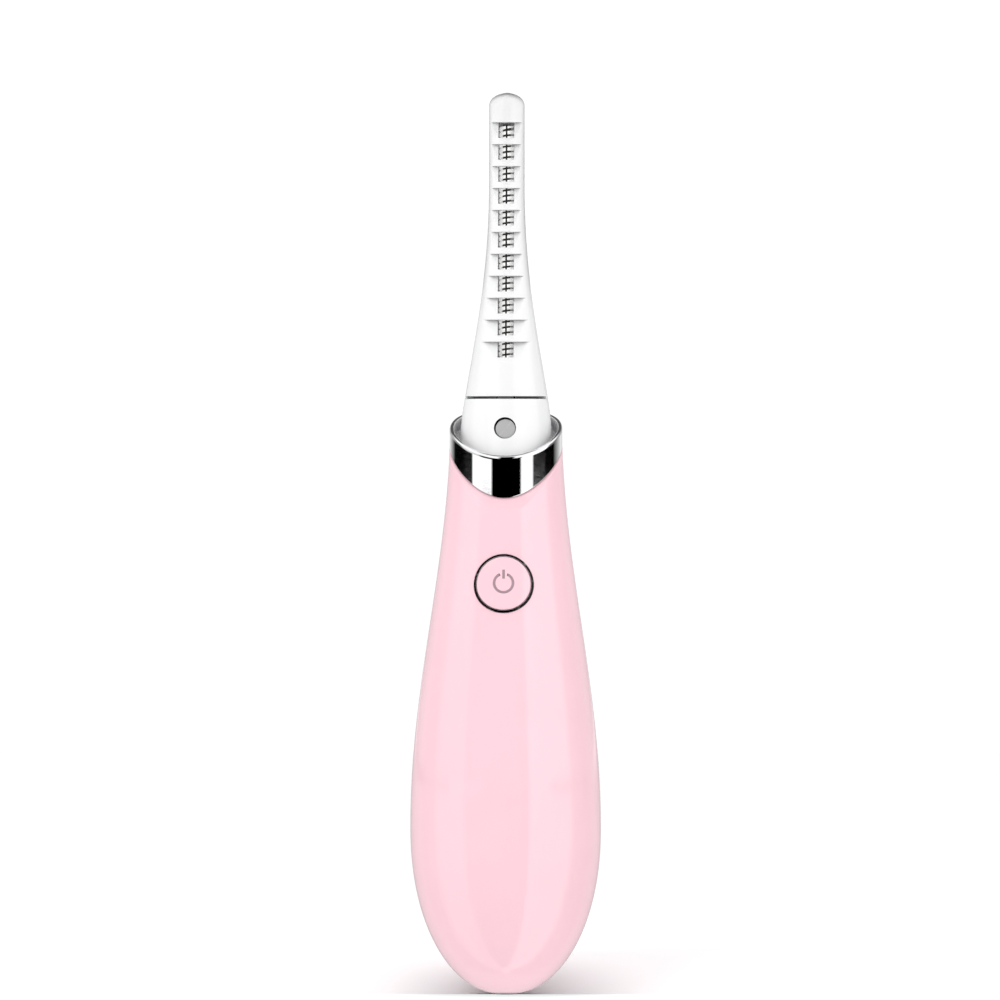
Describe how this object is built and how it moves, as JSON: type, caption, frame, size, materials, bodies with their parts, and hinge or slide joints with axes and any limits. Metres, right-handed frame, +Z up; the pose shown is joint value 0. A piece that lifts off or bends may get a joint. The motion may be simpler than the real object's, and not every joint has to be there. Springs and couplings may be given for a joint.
{
  "type": "heated eyelash curler",
  "caption": "Handheld heated eyelash curler: teardrop handle with power button, slanted chromed collar and slim comb head with a heating coil behind its windows.",
  "frame": {"origin": "on the collar's axis at the level of the handle's butt, where the hand grip's frame sits", "axes": "+Z up the handle towards the comb, -Y out of the face with the button and the comb, +X to the right seen from the front"},
  "size_m": [0.0286, 0.0288, 0.1353],
  "materials": {
    "white_housing": "gloss",
    "white_comb": "satin gloss",
    "heater_core": "matt ceramic",
    "heating_wire": "oxidised resistance wire",
    "sensor_glass": "glass bead",
    "wire_insulation": "silicone",
    "indicator_lens": "diffusing",
    "led_body": "clear epoxy",
    "dark_insulation": "silicone",
    "collar_chrome": "plated, mirror bright",
    "spring_steel": "spring steel",
    "pink_shell": "high gloss",
    "bezel_chrome": "plated",
    "pink_button": "gloss",
    "symbol_ink": "inlay",
    "switch_plunger": "moulded",
    "switch_can": "stamped",
    "circuit_board": "solder mask",
    "chip_body": "moulded",
    "ferrite": "ferrite",
    "small_components": "ceramic",
    "screw_steel": "zinc plated",
    "cell_can": "nickel-plated can",
    "cell_wrap": "heat-shrink film",
    "nickel_strip": "nickel strip",
    "cradle_plastic": "moulded",
    "socket_steel": "stamped steel",
    "socket_plastic": "moulded"
  },
  "bodies": {
    "curler": {"head_rear_housing": "white_housing", "comb_front_grille": "white_comb", "heater_core": "heater_core", "heater_coil": "heating_wire", "thermistor": "sensor_glass", "heater_leads": "wire_insulation", "indicator_lens": "indicator_lens", "indicator_led": "led_body", "led_leads": "dark_insulation", "collar": "collar_chrome", "head_retaining_clip": "spring_steel", "handle_front_shell": "pink_shell", "handle_rear_shell": "pink_shell", "button_bezel": "bezel_chrome", "tact_switch": "switch_can", "main_board": "circuit_board", "controller_chip": "chip_body", "boost_inductor": "ferrite", "board_components": "small_components", "board_screws": "screw_steel", "battery_cell": "cell_can", "battery_wrap": "cell_wrap", "battery_tab_top": "nickel_strip", "battery_tab_bottom": "nickel_strip", "battery_leads": "wire_insulation", "battery_cradle": "cradle_plastic", "charging_socket": "socket_steel", "socket_tongue": "socket_plastic", "charging_board": "circuit_board", "charging_leads": "wire_insulation"},
    "button": {"power_button": "pink_button", "power_symbol": "symbol_ink", "switch_plunger": "switch_plunger"}
  },
  "joints": [
    {"name": "power_press", "type": "slide", "parent": "curler", "child": "button", "axis": [0, 0.9773, -0.2121], "range_m": [0, 0.0004], "stiffness_N_per_m": 4000}
  ]
}
